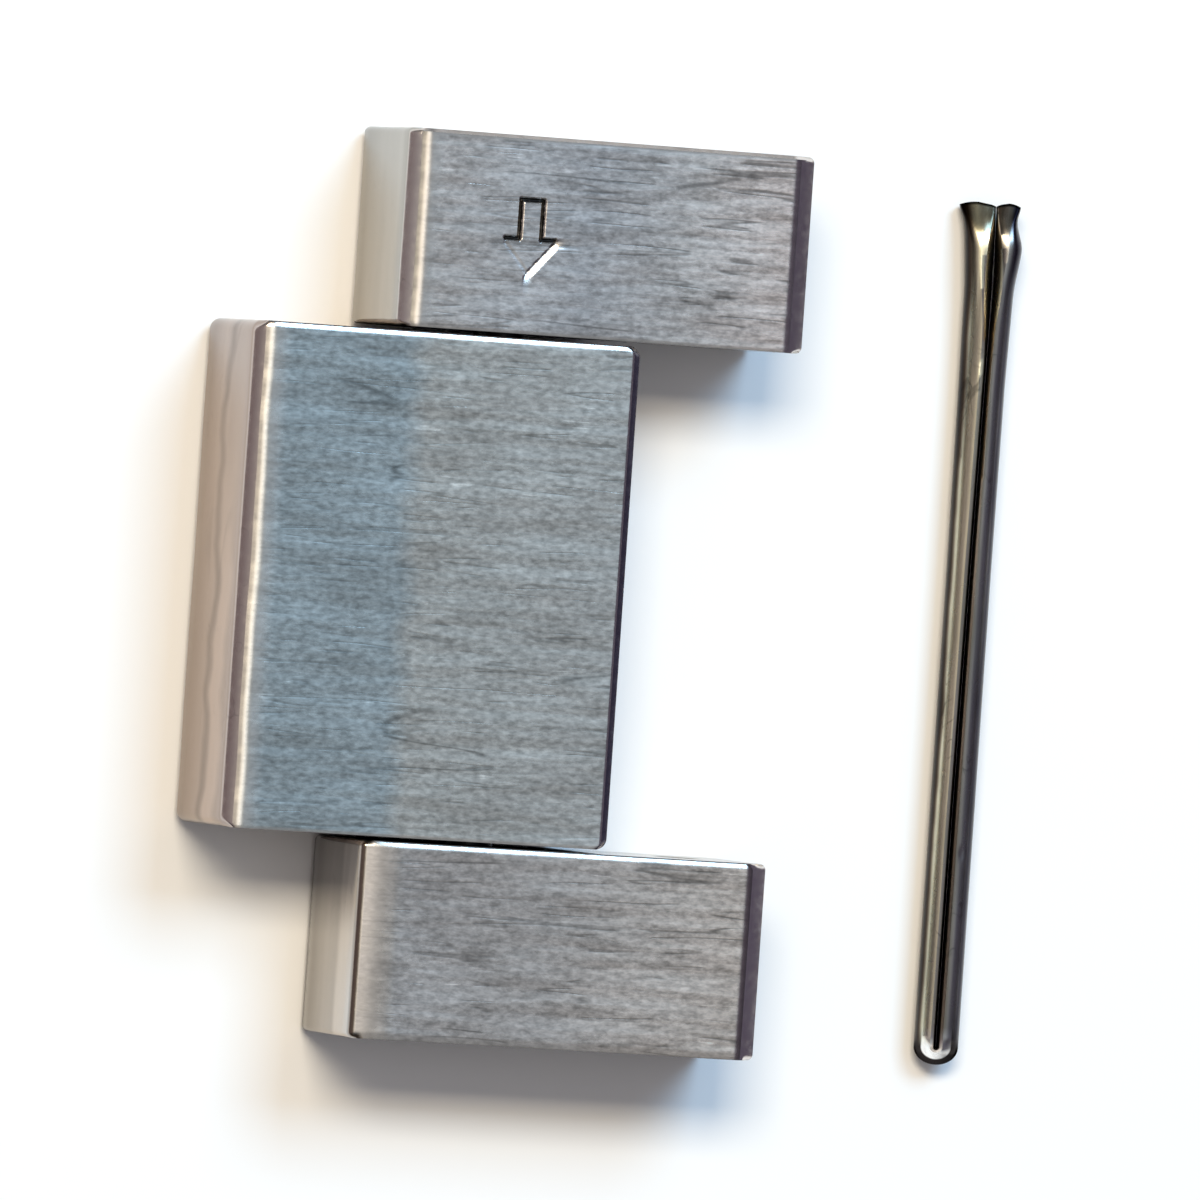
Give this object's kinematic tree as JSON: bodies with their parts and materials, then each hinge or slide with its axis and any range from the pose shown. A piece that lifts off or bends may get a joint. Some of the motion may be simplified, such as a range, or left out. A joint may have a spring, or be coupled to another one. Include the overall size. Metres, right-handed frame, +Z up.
{
  "type": "watch bracelet link",
  "caption": "Flat steel bracelet link: a wide centre piece pinned between two staggered outer pieces that it turns between, with its loose split pin laid beside it.",
  "frame": {"origin": "middle of the whole part's length and width, on the table that it lies on", "axes": "+X along the bracelet, from the centre piece's free end to the outer pieces' free ends; +Y along the pins, towards the outer piece with the arrow; +Z up, out of the side that touches the wrist"},
  "size_m": [0.019, 0.02, 0.0034],
  "materials": {
    "outer_link_steel": "brushed along the bracelet, polished ends",
    "centre_link_steel": "brushed along the bracelet, polished ends",
    "pivot_pin_steel": "ground",
    "split_pin_steel": "drawn wire, bright and darkened in places"
  },
  "bodies": {
    "outer_pair": {"outer_link_north": "outer_link_steel", "outer_link_south": "outer_link_steel", "pivot_pin": "pivot_pin_steel"},
    "centre_link": {"centre_link": "centre_link_steel"},
    "split_pin": {"split_pin": "split_pin_steel"}
  },
  "joints": [
    {"name": "centre_pivot", "type": "hinge", "parent": "outer_pair", "child": "centre_link", "pos_m": [-0.00316, 0, 0.0017], "axis": [0, 1, 0], "continuous": true},
    {"name": "split_pin_slide", "type": "slide", "parent": "outer_pair", "child": "split_pin", "axis": [0, -1, 0], "range_m": [0, 0.02]}
  ]
}
